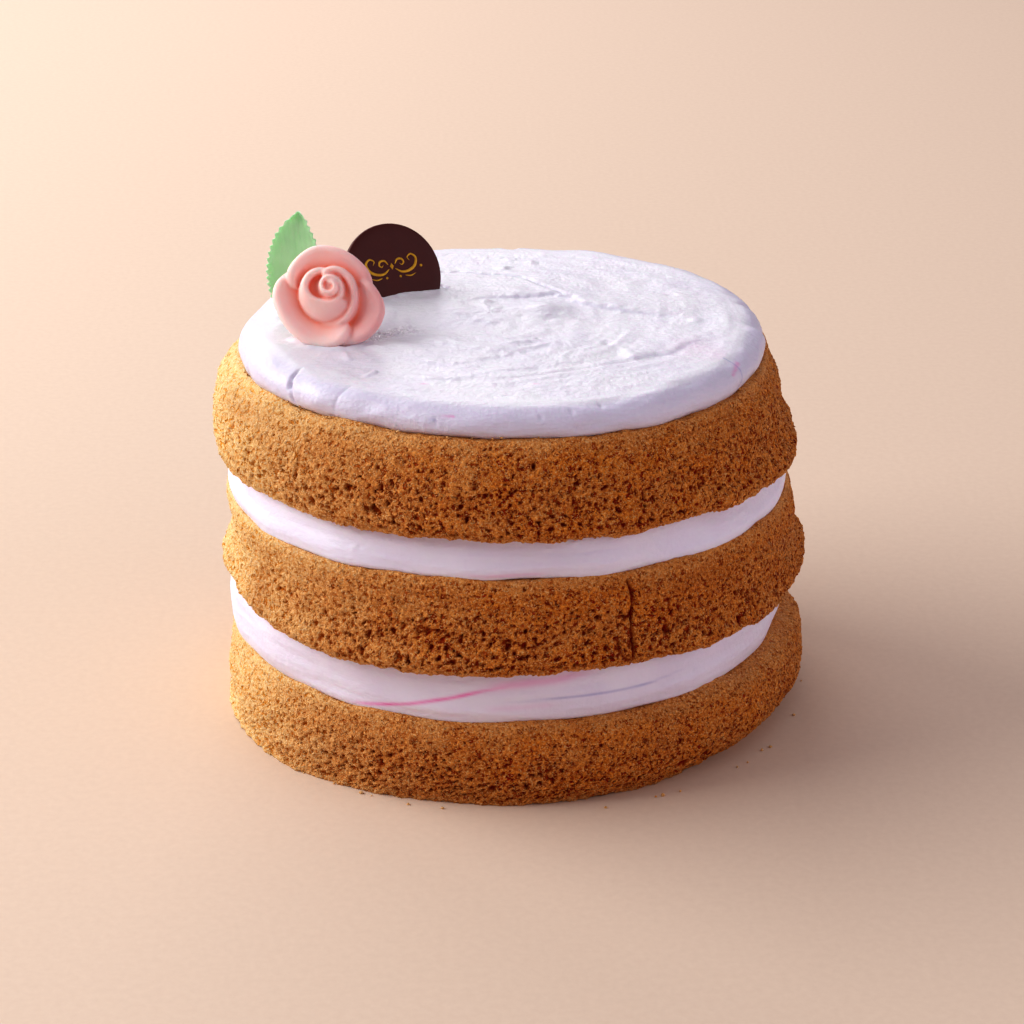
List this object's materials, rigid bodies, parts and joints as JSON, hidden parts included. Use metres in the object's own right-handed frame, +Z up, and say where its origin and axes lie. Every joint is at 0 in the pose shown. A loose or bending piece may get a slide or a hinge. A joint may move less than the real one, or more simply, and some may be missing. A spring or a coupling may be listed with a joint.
{
  "type": "layer cake",
  "caption": "Round naked layer cake of caramel-brown sponges with lilac cream between and on top, a sugar rose and leaf, and a chocolate disc.",
  "frame": {"origin": "middle of the cake's underside, where it rests", "axes": "+Z up through the layers, -Y towards the front where the rose faces, +X to the right seen from the front"},
  "size_m": [0.1596, 0.1619, 0.1351],
  "materials": {
    "sponge": "matte baked crumb",
    "cream": "satin cream",
    "icing": "glossy spread cream",
    "sugar_pink": "matte sugar paste",
    "sugar_green": "matte sugar paste",
    "chocolate": "semi-gloss dark chocolate"
  },
  "bodies": {
    "root": {"sponge_bottom": "sponge", "filling_lower": "cream", "sponge_middle": "sponge", "filling_upper": "cream", "sponge_top": "sponge", "icing_top": "icing", "sugar_rose": "sugar_pink", "sugar_leaf": "sugar_green", "chocolate_disc": "chocolate"}
  },
  "joints": []
}
